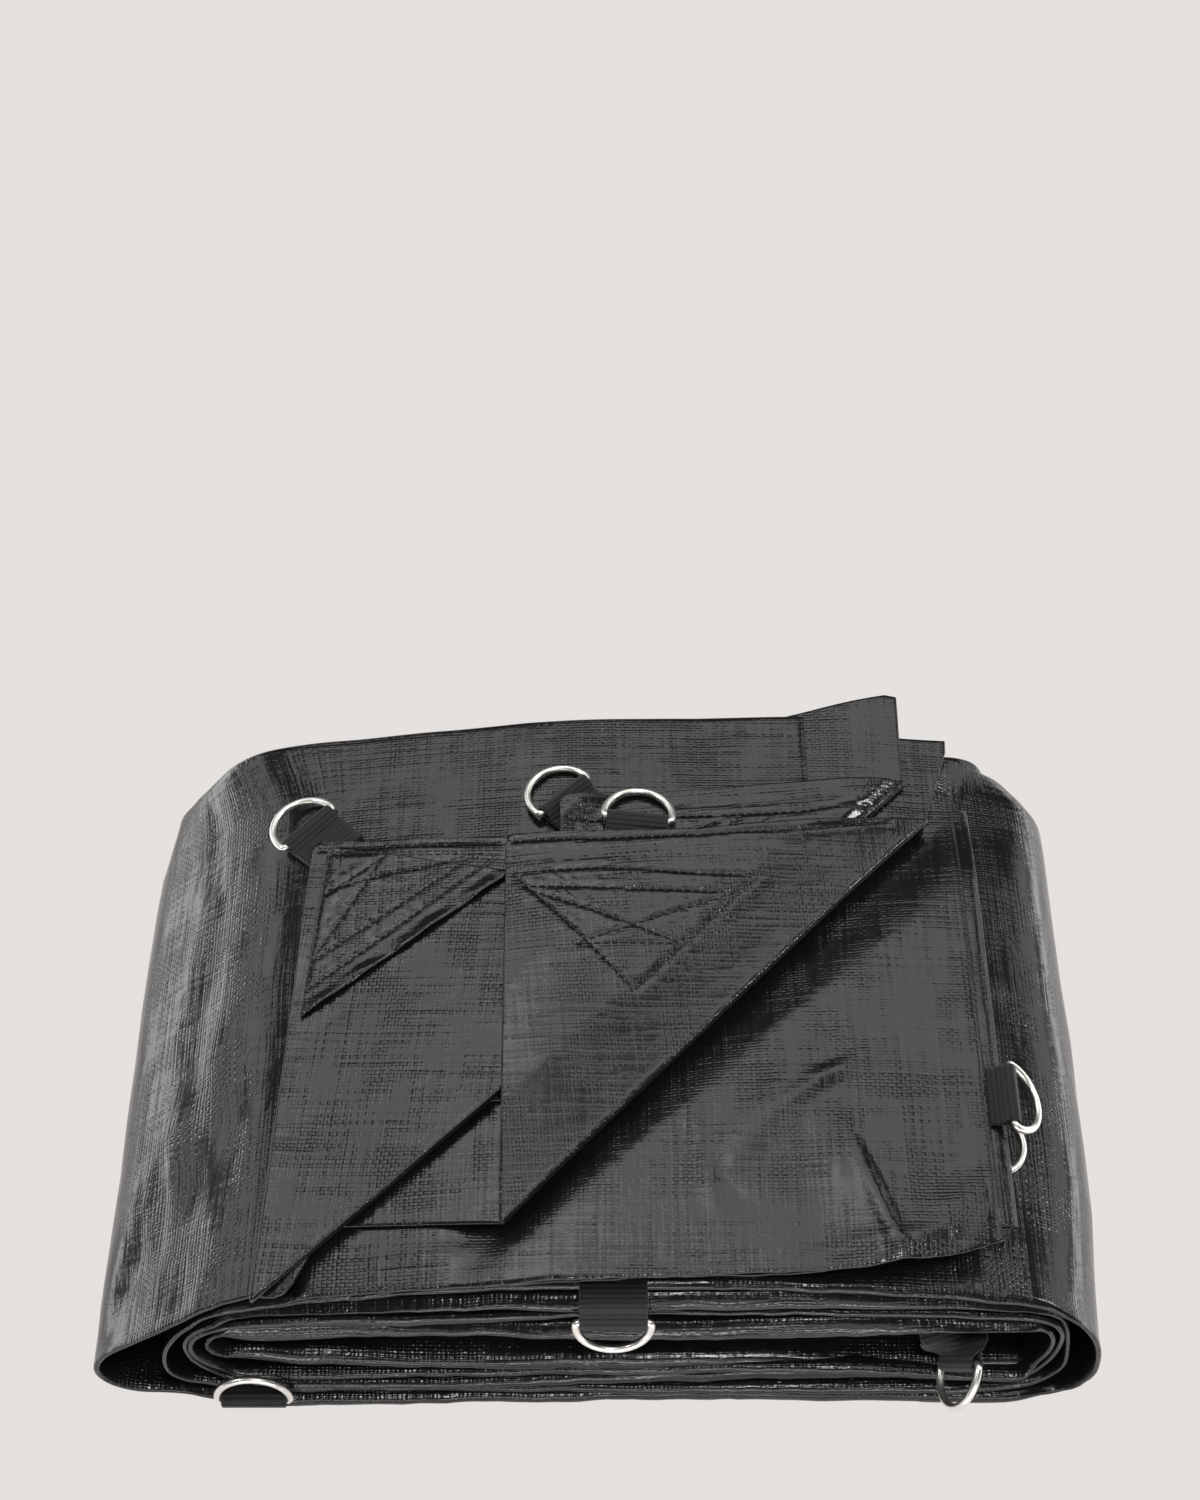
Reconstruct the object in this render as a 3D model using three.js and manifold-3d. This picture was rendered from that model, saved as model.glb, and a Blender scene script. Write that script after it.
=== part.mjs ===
// A heavy woven poly tarp, folded and rolled into a flat bundle, with three of its corners turned back on top
// and a steel D-ring on a webbing tab at each place where the tarp is tied down.
// Millimetres, +Z up, +X to the right, +Y to the back. The origin is the middle of the flat underside.
import * as THREE from 'three';
import Module from 'manifold-3d';

const wasm = await Module();
wasm.setup();

// The rolled part: plies that run left and right, one over another, joined by bends at the two ends.
const ROLL_PLIES = 14;
const ROLL_TOP = 85;
const PLY = 2.6;
const PITCH = (ROLL_TOP - PLY) / (ROLL_PLIES - 1);
const FRONT = -131;
const BACK = 131;
const BEND_STEP = 26;
const FLAT_X = [-104, -36, 34, 104];
// How far out the inner bends reach, from the outermost inward. At the right the fourth and fifth leave
// a hollow.
const REACH_LEFT = [156, 149.7, 143.3, 137, 130.7];
const REACH_RIGHT = [172, 167, 162, 157, 118, 111.7];
const STATIONS = [0, 0.05, 0.28, 0.58, 0.84, 0.95, 1];

// Heights of the middle of each sheet that lies on the roll, before the bundle settles.
const STACK_H = [88.9, 92.4, 96];
const STACK_PLY = 1.8;
const SHEET = 1.2;
const LINK_PLY = 0.8;
const PATCH_PLY = 1;
const H = { low: 98.1, middle: 99.9, top: 101.7 };

// The D-rings and the webbing that holds them.
const WIRE = 1.5;
const RING_R = 14.2;
const RING_LEG = 2;
const RING_FILLET = 2;
const WEB_W = 24.6;
const WEB_PLY = 1;
const WEB_GAP = 0.3;
const SLACK = 0.4;
const REST = 0.3;

const clothLook = { color: 0x1b1c1b, roughness: 0.34, metalness: 0 };
const webLook = { color: 0x131413, roughness: 0.85, metalness: 0 };
const steelLook = { color: 0xccccc7, roughness: 0.16, metalness: 1 };

const vec = (x, y, z) => new THREE.Vector3(x, y, z);
const clamp01 = (t) => Math.min(1, Math.max(0, t));
const smooth = (a, b, x) => {
  const t = clamp01((x - a) / (b - a));
  return t * t * (3 - 2 * t);
};
const mix = (a, b, t) => a + (b - a) * t;

// How far the settled bundle lies below its flat form: it thins to the left, and its roll also thins
// to the right.
function drop(x, h) {
  const left = -14.5 * smooth(-5, -150, x);
  const stack = left - 5 * smooth(95, 160, x);
  const roll = left - 12 * smooth(85, 170, x);
  const floor = PLY / 2;
  if (h <= ROLL_TOP) return roll * Math.max(0, (h - floor) / (ROLL_TOP - floor));
  return mix(roll, stack, clamp01((h - ROLL_TOP) / 3));
}

// The roll narrows towards its back corners and a little at the front right. Towards the back its left side
// leans out at the top.
function narrowed(x, y, z) {
  const left = 0.25 * clamp01((y + 60) / 190) + 0.9 * smooth(95, 140, y);
  const right = 13 * smooth(112, 138, y) + 4 * smooth(-60, -135, y);
  if (x < -105) return x + left * Math.min(6, 17 - 0.42 * z) * smooth(-105, -140, x);
  if (x > 160) return x - right * smooth(160, 190, x);
  return x;
}

const settle = (x, y, h) => vec(x, y, h + drop(x, h));

// A closed sheet from rows of mid-surface points. A row may state its own thickness.
function sheet(rows, thickness) {
  const last = rows.length - 1;
  const width = rows[0].length;
  const upper = [];
  const lower = [];
  rows.forEach((row, i) => {
    const half = (row.thickness ?? thickness) / 2;
    row.forEach((p, j) => {
      const along = rows[Math.min(i + 1, last)][j].clone().sub(rows[Math.max(i - 1, 0)][j]);
      const across = row[Math.min(j + 1, width - 1)].clone().sub(row[Math.max(j - 1, 0)]);
      const normal = along.cross(across).normalize();
      upper.push(p.clone().addScaledVector(normal, half));
      lower.push(p.clone().addScaledVector(normal, -half));
    });
  });
  const count = upper.length;
  const at = (i, j) => i * width + j;
  const faces = [];
  const quad = (a, b, c, d) => faces.push([a, b, c], [a, c, d]);
  for (let i = 0; i < last; i++) {
    for (let j = 0; j + 1 < width; j++) {
      const [a, b, c, d] = [at(i, j), at(i + 1, j), at(i + 1, j + 1), at(i, j + 1)];
      quad(a, b, c, d);
      quad(count + a, count + d, count + c, count + b);
    }
  }
  const rim = [];
  for (let j = 0; j + 1 < width; j++) rim.push(at(0, j));
  for (let i = 0; i < last; i++) rim.push(at(i, width - 1));
  for (let j = width - 1; j > 0; j--) rim.push(at(last, j));
  for (let i = last; i > 0; i--) rim.push(at(i, 0));
  rim.forEach((a, k) => {
    const b = rim[(k + 1) % rim.length];
    quad(a, b, count + b, count + a);
  });
  return closed([...upper, ...lower], faces);
}

// A geometry from points and triangles, with its faces turned outward.
function closed(points, faces) {
  let volume = 0;
  for (const [a, b, c] of faces) volume += points[a].dot(points[b].clone().cross(points[c]));
  const geometry = new THREE.BufferGeometry().setFromPoints(points);
  geometry.setIndex(faces.flatMap(([a, b, c]) => (volume > 0 ? [a, b, c] : [a, c, b])));
  return geometry;
}

function toSolid(geometry) {
  const vertProperties = new Float32Array(geometry.attributes.position.array);
  const triVerts = new Uint32Array(geometry.index.array);
  return new wasm.Manifold(new wasm.Mesh({ numProp: 3, vertProperties, triVerts }));
}

function fromSolid(solid) {
  const { vertProperties, triVerts, numProp } = solid.getMesh();
  const geometry = new THREE.BufferGeometry();
  const points = [];
  for (let i = 0; i < vertProperties.length; i += numProp) points.push(...vertProperties.slice(i, i + 3));
  geometry.setAttribute('position', new THREE.Float32BufferAttribute(points, 3));
  geometry.setIndex([...triVerts]);
  return geometry;
}

// The outer bend at the left, from the underside up to the top ply, as x, height and thickness.
const OUTER_LEFT = [
  [-100, 101.7, 1.6],
  [-119, 101.7, 1.6],
  [-132, 98.5, 2],
  [-147, 88, 2.4],
  [-163, 72, PLY],
  [-180, 54, PLY],
  [-193.5, 37, PLY],
  [-197.5, 23, PLY],
  [-195, 11.5, PLY],
  [-185, 4, PLY],
  [-168, PLY / 2, PLY],
];

// The outer bend at the right, from the underside up, and the slack ply inside the outer left bend, from
// the top down.
const OUTER_RIGHT = [
  [160, PLY / 2],
  [176, 5],
  [188.5, 13],
  [195.5, 26],
  [197, 46],
  [191, 66],
  [174, 80.5],
  [152, ROLL_TOP - PLY / 2],
];
const SLACK_LEFT = [
  [-110, ROLL_TOP - PLY / 2],
  [-128, 82],
  [-144, 76],
  [-158, 66],
  [-168, 52],
  [-173, 38],
  [-172, 25],
  [-163, 13],
  [-148, PLY / 2 + PITCH],
];

const plyHeight = (k) => PLY / 2 + k * PITCH;

// A rounded bend between two plies: side is 1 at the right and -1 at the left, and way is 1 upward and
// -1 downward.
function bend(side, reach, from, to) {
  const half = Math.abs(to - from) / 2;
  const depth = half + 1;
  const way = Math.sign(to - from);
  const points = [];
  for (let a = -78; a <= 78; a += BEND_STEP) {
    const t = THREE.MathUtils.degToRad(a);
    points.push([side * (reach - depth + depth * Math.cos(t)), (from + to) / 2 + way * half * Math.sin(t)]);
  }
  return points;
}

// The whole path of the roll's section, from the outer end on top to the inner end in the middle.
function rollPath() {
  const path = OUTER_LEFT.map(([x, h, t]) => ({ x, h, t, turn: 0 }));
  const add = (points, turn) => points.forEach(([x, h]) => path.push({ x, h, t: PLY, turn }));
  const turns = ROLL_PLIES / 2;
  for (let i = 0; i < turns; i++) {
    const bottom = plyHeight(i);
    const top = plyHeight(ROLL_PLIES - 1 - i);
    add(FLAT_X.map((x) => [x, bottom]), i);
    add(i === 0 ? OUTER_RIGHT : bend(1, REACH_RIGHT[i - 1], bottom, top), i + 0.25);
    add([...FLAT_X].reverse().map((x) => [x, top]), i + 0.5);
    if (i + 1 < turns) {
      const next = plyHeight(i + 1);
      add(i === 0 ? SLACK_LEFT : bend(-1, REACH_LEFT[i - 1], top, next), i + 0.75);
    }
  }
  return path;
}

// Each ply's front and back edge lie a little in or out of the next one's.
function edges({ x, turn }) {
  const lower = 4 * (1 - smooth(0, 0.6, turn));
  const corner = 4.5 * smooth(-95, -120, x);
  const front = FRONT - lower + corner + 1.6 * Math.sin(turn * 2.6 + 0.8 + x / 61);
  const back = BACK + 2.4 * Math.sin(turn * 3.1 + 1 + x / 77) + 3 * smooth(120, 190, Math.abs(x));
  return { front, back };
}

function rollSheet() {
  const rows = rollPath().map((section) => {
    const { front, back } = edges(section);
    const row = STATIONS.map((f) => {
      const y = mix(front, back, f);
      const p = settle(section.x, y, section.h);
      return p.setX(narrowed(p.x, y, p.z));
    });
    row.thickness = section.t;
    return row;
  });
  return sheet(rows, PLY);
}

// Three plies folded back and forth on the roll. They leave the roll's top ply at the left, and end at
// the right.
const STACK_LEFT = -112;
const STACK_STATIONS = [0, 0.1, 0.26, 0.36, 0.5, 0.68, 0.84, 1];
const STACK_END = [
  { x: 100, lift: 0.3, front: -124.5 },
  { x: 114, lift: 1.0, front: -122.6 },
  { x: 127, lift: 1.2, front: -120.5 },
  { x: 139, lift: 1.9, front: -117.5 },
  { x: 150.5, lift: 1.9, front: -113.5 },
];
const STACK_RUN = [-70, -30, 10, 40, 70];

function hairpin(side, reach, from, to) {
  const radius = (to - from) / 2;
  return [-60, 0, 60].map((a) => {
    const t = THREE.MathUtils.degToRad(a);
    return [reach + side * radius * Math.cos(t), (from + to) / 2 + radius * Math.sin(t)];
  });
}

function stackSheet() {
  const [low, middle, top] = STACK_H;
  const inside = plyHeight(ROLL_PLIES - 1);
  const path = [];
  const add = (points, ply) => points.forEach(([x, h]) => path.push({ x, h, ply, lift: 0 }));
  add([[-60, inside], [STACK_LEFT, inside], ...hairpin(-1, STACK_LEFT, inside, low), [STACK_LEFT, low]], 0);
  add([...STACK_RUN, 100, 128].map((x) => [x, low]), 0);
  add([[157, low], ...hairpin(1, 157, low, middle), [157, middle]], 1);
  add([128, 100, ...[...STACK_RUN].reverse()].map((x) => [x, middle]), 1);
  add([[STACK_LEFT, middle], ...hairpin(-1, STACK_LEFT, middle, top), [STACK_LEFT, top]], 2);
  add(STACK_RUN.map((x) => [x, top]), 2);
  STACK_END.forEach(({ x, lift, front }) => path.push({ x, h: top, ply: 2, lift, front }));
  const rows = path.map(({ x, h, ply, lift, front }) => {
    const plain = -131 + 5 * smooth(-60, 100, x) - ply * 0.4;
    const lower = FRONT + 3 + 24 * smooth(60, 157, x);
    const start = front ?? (ply === 2 ? plain : Math.max(plain + 2, lower));
    const end = ply === 2 ? mix(112, 104, smooth(60, 150, x)) : mix(112, 99, smooth(60, 157, x));
    return STACK_STATIONS.map((f) => {
      const y = mix(start, end, f);
      const raised = lift * (1 - smooth(35, 60, y)) * smooth(-122, -100, y);
      return settle(x, y, h + raised + wrinkle(x, y, ply));
    });
  });
  return sheet(rows, STACK_PLY);
}

// The long soft creases that show on the top ply of the stack, right of the turned-back corners.
const CREASES = [
  { x: 62, y: -62, length: 34, angle: 52, width: 9, rise: 1.6 },
  { x: 96, y: -92, length: 40, angle: -64, width: 9, rise: 1.8 },
  { x: 134, y: -100, length: 22, angle: 35, width: 9, rise: 2.2 },
];

function wrinkle(x, y, ply) {
  if (ply !== 2) return 0;
  return CREASES.reduce((sum, c) => {
    const t = THREE.MathUtils.degToRad(c.angle);
    const along = ((x - c.x) * Math.cos(t) + (y - c.y) * Math.sin(t)) / c.length;
    const across = ((y - c.y) * Math.cos(t) - (x - c.x) * Math.sin(t)) / c.width;
    return sum + c.rise * Math.exp(-along * along - across * across);
  }, 0);
}

// The rows of an outline between two ends of a crease: the outline is cut by lines parallel to the crease,
// and each line crosses it twice.
function slices(outline, crease, depths, columns) {
  const [a, b] = crease;
  const dir = new THREE.Vector2(b[0] - a[0], b[1] - a[1]).normalize();
  const away = new THREE.Vector2(-dir.y, dir.x);
  const local = outline.map(([x, y]) => {
    const p = new THREE.Vector2(x - a[0], y - a[1]);
    return { s: p.dot(dir), d: p.dot(away) };
  });
  const deepest = Math.max(...local.map((p) => p.d));
  return depths.map((f) => {
    const d = f * deepest;
    const hits = [];
    local.forEach((p, i) => {
      const q = local[(i + 1) % local.length];
      if (p.d === q.d) {
        if (p.d === d) hits.push(p.s, q.s);
        return;
      }
      const t = (d - p.d) / (q.d - p.d);
      if (t >= 0 && t <= 1) hits.push(mix(p.s, q.s, t));
    });
    const [from, to] = [Math.min(...hits), Math.max(...hits)];
    const row = [];
    for (let j = 0; j < columns; j++) {
      const s = mix(from, to, j / (columns - 1));
      row.push([a[0] + dir.x * s + away.x * d, a[1] + dir.y * s + away.y * d]);
    }
    row.outward = away.clone().negate();
    return row;
  });
}

// A sheet whose corner is folded over along a crease. The turned-back corner rises by its own profile
// of heights.
function turnedSheet({ crease, base, edge = [], corner, height, profile, columns = 7 }) {
  const baseDepths = [0.985, 0.84, 0.68, 0.52, 0.38, 0.25, 0.13, 0.05, 0.006];
  const flat = slices([crease[0], crease[1], ...base], crease, baseDepths, columns);
  const outline = [...crease, ...edge, corner];
  const turned = slices(outline, crease, profile.map(([f]) => f), columns);
  const radius = (profile[0][1] - height) / 2;
  const line = slices(outline, crease, [0], columns)[0];
  const round = [-70, -25, 25, 70].map((a) => {
    const t = THREE.MathUtils.degToRad(a);
    const out = radius * Math.cos(t);
    const h = height + radius + radius * Math.sin(t);
    return line.map(([x, y]) => settle(x + line.outward.x * out, y + line.outward.y * out, h));
  });
  const lift = (row, h) => row.map(([x, y]) => settle(x, y, h));
  const rows = [
    ...flat.map((row) => lift(row, height)),
    ...round,
    ...turned.map((row, i) => lift(row, profile[i][1])),
  ];
  return sheet(rows, SHEET);
}

// The three loose sheets on top, from below. Each crease runs from the front left to the back right.
// A profile gives the turned-back corner's height at fractions of the way from the crease to its tip, and
// edge gives a point of the corner's back edge.
const LOOSE = {
  low: {
    crease: [[-37.3, -107.5], [137.1, 82.3]],
    base: [[151, 127], [-106, 126], [-106, -104]],
    edge: [[41.3, 66]],
    corner: [-38.4, 64.4],
    height: H.low,
    profile: [[0.008, 100.5], [0.08, 102.2], [0.16, 104.4], [0.27, 107.8], [0.4, 110], [0.55, 111.3],
      [0.78, 111.3], [0.985, 111.3]],
  },
  middle: {
    crease: [[-13, -57], [128.6, 100.1]],
    base: [[128.6, 146], [-95, 95], [-95, -52]],
    corner: [-16.7, 85.3],
    height: H.middle,
    profile: [[0.01, 102.3], [0.05, 104.4], [0.1, 105.3], [0.35, 105.3], [0.6, 105.3], [0.84, 105.5],
      [0.93, 109.3], [0.98, 109.3]],
  },
  top: {
    crease: [[-129.1, -135], [86, 63]],
    base: [[88, 135], [-102, 130]],
    corner: [-120, 71.5],
    height: H.top,
    profile: [[0.006, 103.5], [0.12, 103.5], [0.3, 103.5], [0.5, 103.5], [0.66, 104.8], [0.8, 106.5],
      [0.9, 106.5], [0.985, 106.5]],
  },
};

// A short hidden fold that joins one loose sheet to the sheet below it.
function link(from, to, y0, y1) {
  const left = -92;
  const path = [[-72, from], [left, from], ...hairpin(-1, left, from, to), [left, to], [-72, to]];
  return sheet(path.map(([x, h]) => [y0, y1].map((y) => settle(x, y, h))), LINK_PLY);
}

function tarpGeometry() {
  const pieces = [
    rollSheet(),
    stackSheet(),
    ...Object.values(LOOSE).map(turnedSheet),
    link(STACK_H[2], H.low, -40, 40),
    link(H.low, H.middle, -30, 60),
  ];
  return fromSolid(pieces.map(toSolid).reduce((sum, solid) => sum.add(solid)));
}

// The three-cornered patch lies on the turned-back top corner, with its long edge a little raised.
function patchGeometry() {
  const crease = [[-119.4, -14], [-36, 50]];
  const corner = [-113.5, 67.5];
  const depths = [[0, 0.9], [0.05, 0.3], [0.35, 0], [0.7, 0], [0.97, 0]];
  const top = LOOSE.top;
  const rows = slices([...crease, corner], crease, depths.map(([f]) => f), 5).map((row, i) =>
    row.map(([x, y]) => {
      const h = profileHeight(top, x, y) + (SHEET + PATCH_PLY) / 2 + 2 * REST + depths[i][1];
      return settle(x, y, h);
    }));
  return sheet(rows, PATCH_PLY);
}

// The height of a turned-back corner's middle surface at a point.
function profileHeight({ crease, corner, profile }, x, y) {
  const [a, b] = crease;
  const dir = new THREE.Vector2(b[0] - a[0], b[1] - a[1]).normalize();
  const depth = (px, py) => (py - a[1]) * dir.x - (px - a[0]) * dir.y;
  const f = depth(x, y) / depth(...corner);
  const next = Math.max(1, profile.findIndex(([g]) => g >= f));
  const [[f0, h0], [f1, h1]] = [profile[next - 1], profile[next]];
  return mix(h0, h1, (f - f0) / (f1 - f0));
}

// A D-ring in its own frame: its bar lies along Y through the origin, and its arc reaches out along +X.
function ringGeometry() {
  const centre = [];
  const push = (x, y) => centre.push(vec(x, y, 0));
  const flat = RING_R - RING_FILLET;
  for (let k = -2; k <= 2; k++) push(0, (k / 2) * flat * -1);
  const fillet = (side, from, to) => {
    for (const a of [from, (from + to) / 2, to]) {
      const t = THREE.MathUtils.degToRad(a);
      push(RING_FILLET + RING_FILLET * Math.cos(t), side * (flat + RING_FILLET * Math.abs(Math.sin(t))));
    }
  };
  fillet(-1, 150, 90);
  for (let a = -80; a <= 80; a += 16) {
    const t = THREE.MathUtils.degToRad(a);
    push(RING_LEG + RING_R * Math.cos(t), RING_R * Math.sin(t));
  }
  fillet(1, 90, 150);
  const sides = 8;
  const count = centre.length;
  const points = centre.flatMap((p, i) => {
    const ahead = centre[(i + 1) % count].clone().sub(centre[(i + count - 1) % count]).normalize();
    const outward = vec(ahead.y, -ahead.x, 0);
    return Array.from({ length: sides }, (_, k) => {
      const t = ((k + 0.5) / sides) * 2 * Math.PI;
      return p.clone().addScaledVector(outward, WIRE * Math.cos(t)).add(vec(0, 0, WIRE * Math.sin(t)));
    });
  });
  const faces = [];
  for (let i = 0; i < count; i++) {
    for (let k = 0; k < sides; k++) {
      const [a, b] = [i * sides + k, i * sides + ((k + 1) % sides)];
      const [c, d] = [((i + 1) % count) * sides + ((k + 1) % sides), ((i + 1) % count) * sides + k];
      faces.push([a, b, c], [a, c, d]);
    }
  }
  return closed(points, faces);
}

// A webbing tab in the same frame: one strip that comes out along the bottom, goes round the bar and doubles
// back. shape moves a point of the tail, for a tab that bends over an edge.
const LOOP_R = WIRE + SLACK + WEB_PLY / 2;
const TAB_BOTTOM = -(LOOP_R + WEB_PLY / 2);

function tabGeometry(length, shape) {
  const low = -LOOP_R;
  const high = low + WEB_PLY + WEB_GAP;
  const steps = [1, 0.75, 0.5, 0.25].map((f) => -6 - (length - 6) * f);
  const path = [...steps.map((x) => [x, low]), [-6, low], [-3, low]];
  for (let a = -90; a <= 120; a += 30) {
    const t = THREE.MathUtils.degToRad(a);
    path.push([LOOP_R * Math.cos(t), LOOP_R * Math.sin(t)]);
  }
  path.push([-3.6, 0.4], [-6, high], ...steps.reverse().map((x) => [x, high]));
  const rows = path.map(([x, z]) => [-WEB_W / 2, WEB_W / 2].map((y) => shape(vec(x, y, z))));
  return sheet(rows, WEB_PLY);
}

// Shapes a tab's tail in its own frame. The tail first twists, from the ring's angle to the angle at which
// it enters the bundle, and then bends downward by an angle, past a distance from the bar. Angles are in
// degrees.
function tailShape({ twist = 0, level = 0, bend: [start, radius, angle] = [0, 1, 0] }) {
  const most = THREE.MathUtils.degToRad(angle);
  return (p) => {
    const turn = THREE.MathUtils.degToRad(mix(twist, level, smooth(-3, -12, p.x)));
    const y = p.y * Math.cos(turn) - p.z * Math.sin(turn);
    const z = p.y * Math.sin(turn) + p.z * Math.cos(turn);
    if (most === 0 || p.x >= -start) return vec(p.x, y, z);
    const past = -start - p.x;
    const turned = Math.min(past / radius, most);
    const rest = Math.max(0, past - radius * most);
    const arm = radius + z;
    return vec(
      -start - arm * Math.sin(turned) - rest * Math.cos(turned),
      y,
      -radius + arm * Math.cos(turned) - rest * Math.sin(turned),
    );
  };
}

// Each tab lies on a surface of the settled bundle, given by its height before settling, or its bar's middle
// is at a stated height z. heading is the arc's direction seen from above, tip how far it points down, and
// roll its tilt about that direction. swing is how far the ring has turned in its loop beyond the tab.
const PLACES = [
  { x: -123, y: 80.5, on: 102.73, heading: 136, tip: 4.6, roll: -4, swing: 4, length: 20 },
  { x: -15, y: 88, on: 102.3, heading: 135, tip: 1, roll: 0, swing: 4, length: 13 },
  { x: 15.6, y: 72, on: 107.4, heading: 84, tip: 0, roll: 1.6, swing: 8, length: 17 },
  { x: 160.4, y: -49, on: 93.6, heading: 0, tip: 3.4, roll: 0, swing: 40, length: 20 },
  { x: 150, y: -62, on: 85.7, heading: 0, tip: 10.5, roll: 0, swing: 3, length: 20 },
  { x: 5, y: -138, z: 76.7, heading: -90, tip: 90, roll: 0, swing: -11, length: 30, bend: [6.6, 4.5, 90] },
  { x: -136, y: -138, z: 8.6, heading: -90, tip: 50, roll: 0, swing: -144, length: 20, bend: [2.5, 2.5, 50] },
  { x: 138, y: -138, z: 41, heading: -75, tip: 30, roll: 0, swing: -25, twist: 75, level: -12, length: 20 },
];

function placed(place) {
  const group = new THREE.Group();
  const tabForm = tabGeometry(place.length, tailShape(place));
  const tab = new THREE.Mesh(tabForm, new THREE.MeshStandardMaterial(webLook));
  const ring = new THREE.Mesh(ringGeometry(), new THREE.MeshStandardMaterial(steelLook));
  ring.rotation.set(...[place.twist ?? 0, place.swing, 0].map(THREE.MathUtils.degToRad));
  group.add(tab, ring);
  const under = place.on < 86 ? ROLL_TOP : place.on;
  const resting = place.on && place.on + drop(place.x, under) + REST - TAB_BOTTOM;
  group.position.set(place.x, place.y, place.z ?? resting);
  group.rotation.order = 'ZYX';
  group.rotation.set(...[place.roll, place.tip, place.heading].map(THREE.MathUtils.degToRad));
  return group;
}

const bundle = new THREE.Group();

const cloth = new THREE.MeshStandardMaterial(clothLook);
const tarp = new THREE.Mesh(tarpGeometry(), cloth);
tarp.name = 'tarp';
const patch = new THREE.Mesh(patchGeometry(), cloth.clone());
patch.name = 'corner_patch';
bundle.add(tarp, patch);

PLACES.forEach((place, i) => {
  const group = placed(place);
  group.children[0].name = `tab_${i + 1}`;
  group.children[1].name = `ring_${i + 1}`;
  bundle.add(group);
});

export default bundle;
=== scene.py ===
"""The looks of a folded woven poly tarp: coated cloth, ribbed webbing, nickel D-rings and sewing.

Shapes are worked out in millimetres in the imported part's frame, and become metres when a mesh is made.
"""
import math

import bpy
import numpy as np
from mathutils import Matrix, Vector


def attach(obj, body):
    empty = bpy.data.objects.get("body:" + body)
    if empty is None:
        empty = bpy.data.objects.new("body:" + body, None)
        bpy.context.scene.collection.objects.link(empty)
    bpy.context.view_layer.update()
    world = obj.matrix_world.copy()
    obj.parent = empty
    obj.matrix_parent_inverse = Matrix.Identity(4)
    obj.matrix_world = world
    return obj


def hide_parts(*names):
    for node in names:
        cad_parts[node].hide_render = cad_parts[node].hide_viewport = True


MM = 0.001
TINY = 1e-9
CLOSE = 1e-6

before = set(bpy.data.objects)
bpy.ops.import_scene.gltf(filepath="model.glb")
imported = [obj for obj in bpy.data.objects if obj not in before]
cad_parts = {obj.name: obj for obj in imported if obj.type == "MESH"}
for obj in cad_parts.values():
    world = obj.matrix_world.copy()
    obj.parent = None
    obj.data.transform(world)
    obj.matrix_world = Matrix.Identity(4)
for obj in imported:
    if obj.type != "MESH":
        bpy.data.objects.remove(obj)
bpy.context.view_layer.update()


# Numbers

def smooth(a, b, x):
    t = np.clip((np.asarray(x, float) - a) / (b - a), 0, 1)
    return t * t * (3 - 2 * t)


def mix(a, b, t):
    return a + (b - a) * t


def noise(u, v, seed):
    """Smooth seeded noise from -1 to 1 on a lattice of whole numbers."""
    size = 64
    table = np.random.default_rng(seed).uniform(-1, 1, (size, size))
    u, v = np.broadcast_arrays(np.asarray(u, float), np.asarray(v, float))
    i, j = np.floor(u).astype(int), np.floor(v).astype(int)
    fu, fv = smooth(0, 1, u - i), smooth(0, 1, v - j)
    low = mix(table[i % size, j % size], table[(i + 1) % size, j % size], fu)
    high = mix(table[i % size, (j + 1) % size], table[(i + 1) % size, (j + 1) % size], fu)
    return mix(low, high, fv)


def spline(points, step):
    """Rows evenly spaced along a smooth curve through points, by the length of their first two columns."""
    points = np.array(points, float)
    gaps = np.sqrt(np.linalg.norm(np.diff(points[:, :2], axis=0), axis=1))
    knots = np.concatenate([[0], np.cumsum(gaps)])
    slopes = np.diff(points, axis=0) / gaps[:, None]
    tangents = np.empty_like(points)
    before, after = gaps[:-1, None], gaps[1:, None]
    tangents[1:-1] = (slopes[:-1] * after + slopes[1:] * before) / (before + after)
    tangents[0], tangents[-1] = slopes[0], slopes[-1]
    t = np.linspace(0, knots[-1], len(points) * 60)
    k = np.clip(np.searchsorted(knots, t, side="right") - 1, 0, len(gaps) - 1)
    gap = gaps[k][:, None]
    f = ((t - knots[k])[:, None]) / gap
    dense = (
        (2 * f**3 - 3 * f**2 + 1) * points[k]
        + (f**3 - 2 * f**2 + f) * gap * tangents[k]
        + (-2 * f**3 + 3 * f**2) * points[k + 1]
        + (f**3 - f**2) * gap * tangents[k + 1]
    )
    return even(dense, step)


def even(dense, step):
    """Rows of a fine polyline, taken at even steps of the length of its first two columns."""
    lengths = np.concatenate([[0], np.cumsum(np.linalg.norm(np.diff(dense[:, :2], axis=0), axis=1))])
    places = np.linspace(0, lengths[-1], max(2, int(round(lengths[-1] / step))) + 1)
    columns = [np.interp(places, lengths, column) for column in dense.T]
    return np.column_stack(columns), places


# The settled bundle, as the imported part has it

ROLL_TOP = 85
PLY = 2.6
STACK_RISE = 3


def drop(x, h):
    """How far the settled bundle lies below its flat form at a height h of that form."""
    x, h = np.asarray(x, float), np.asarray(h, float)
    left = -14.5 * smooth(-5, -150, x)
    stack = left - 5 * smooth(95, 160, x)
    roll = left - 12 * smooth(85, 170, x)
    floor = PLY / 2
    low = roll * np.maximum(0, (h - floor) / (ROLL_TOP - floor))
    high = mix(roll, stack, np.clip((h - ROLL_TOP) / STACK_RISE, 0, 1))
    return np.where(h <= ROLL_TOP, low, high)


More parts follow.
